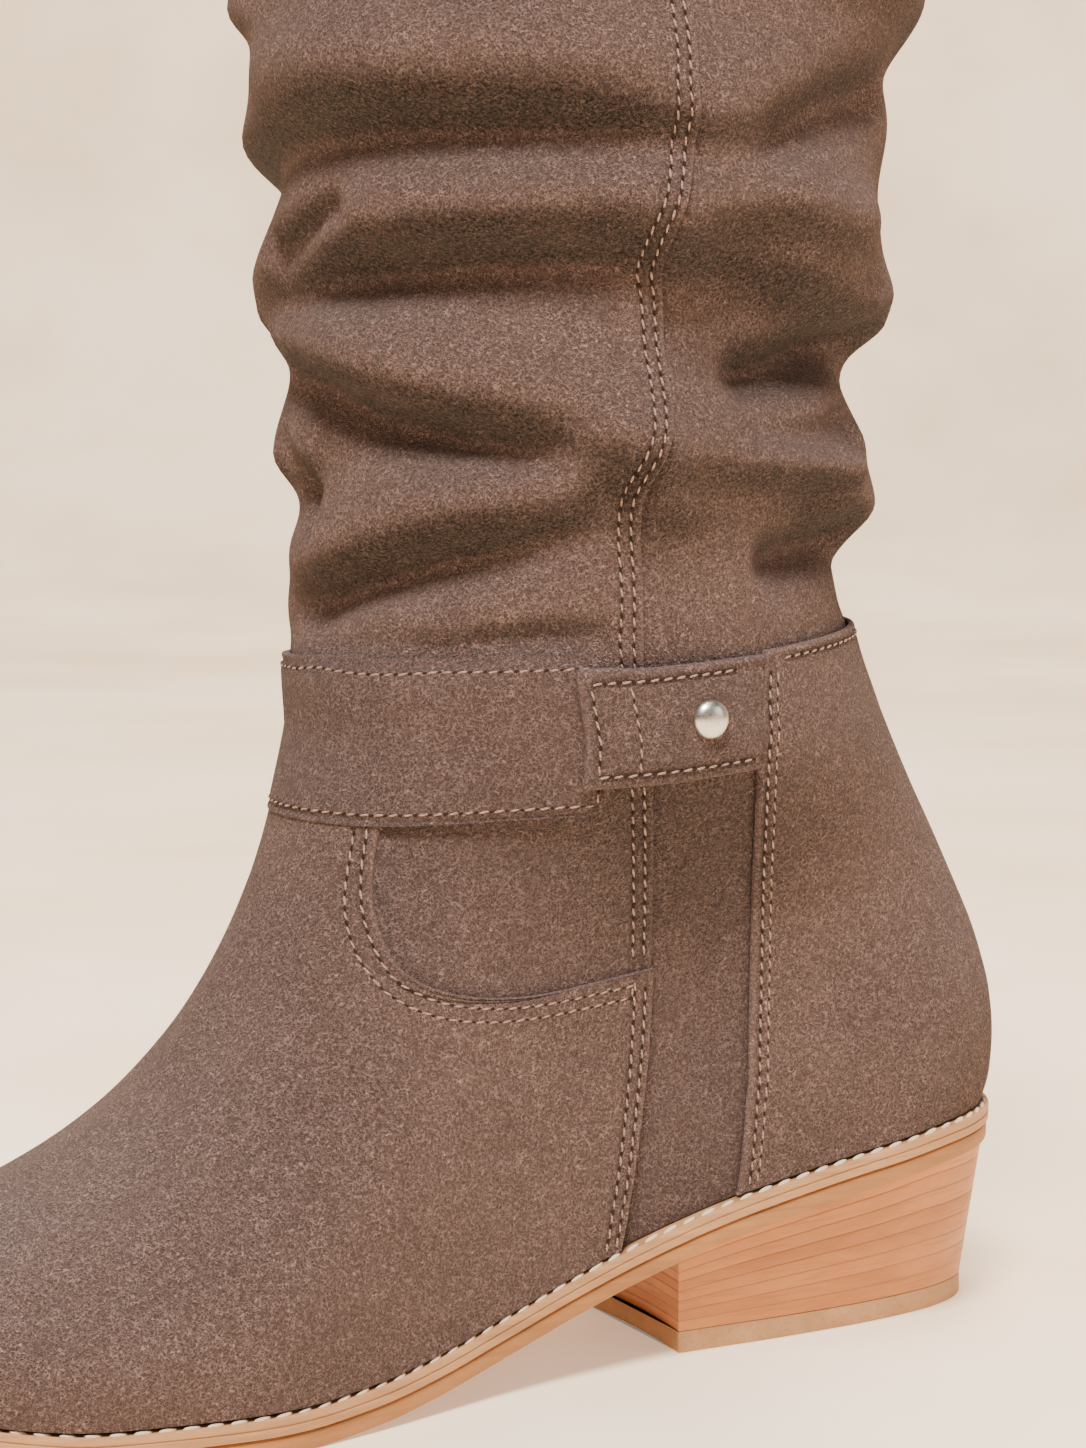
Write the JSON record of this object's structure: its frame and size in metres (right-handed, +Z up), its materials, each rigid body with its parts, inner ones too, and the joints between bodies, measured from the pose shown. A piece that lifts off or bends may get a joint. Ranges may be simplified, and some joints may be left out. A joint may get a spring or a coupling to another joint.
{
  "type": "slouch boot",
  "caption": "Left slouch boot in suede with a gathered shaft, an ankle strap held by a riveted tab, a stitched welt and a low stacked heel.",
  "frame": {"origin": "middle of the heel's tread, on the floor", "axes": "-X towards the toe, -Y towards the outer side of the left foot, +Z up the shaft"},
  "size_m": [0.2667, 0.112, 0.335],
  "materials": {
    "top_lift": "matte",
    "heel_stack": "waxed stacked leather",
    "outsole": "satin",
    "midsole": "satin welt edge",
    "insole": "matte",
    "upper": "suede",
    "shaft": "suede",
    "vamp": "suede",
    "counter": "suede",
    "strap": "suede",
    "tab": "suede",
    "rivet": "satin nickel"
  },
  "bodies": {
    "root": {"top_lift": "top_lift", "heel_stack": "heel_stack", "outsole": "outsole", "midsole": "midsole", "insole": "insole", "upper": "upper", "shaft": "shaft", "vamp": "vamp", "counter": "counter", "strap": "strap", "tab": "tab", "rivet": "rivet"}
  },
  "joints": []
}
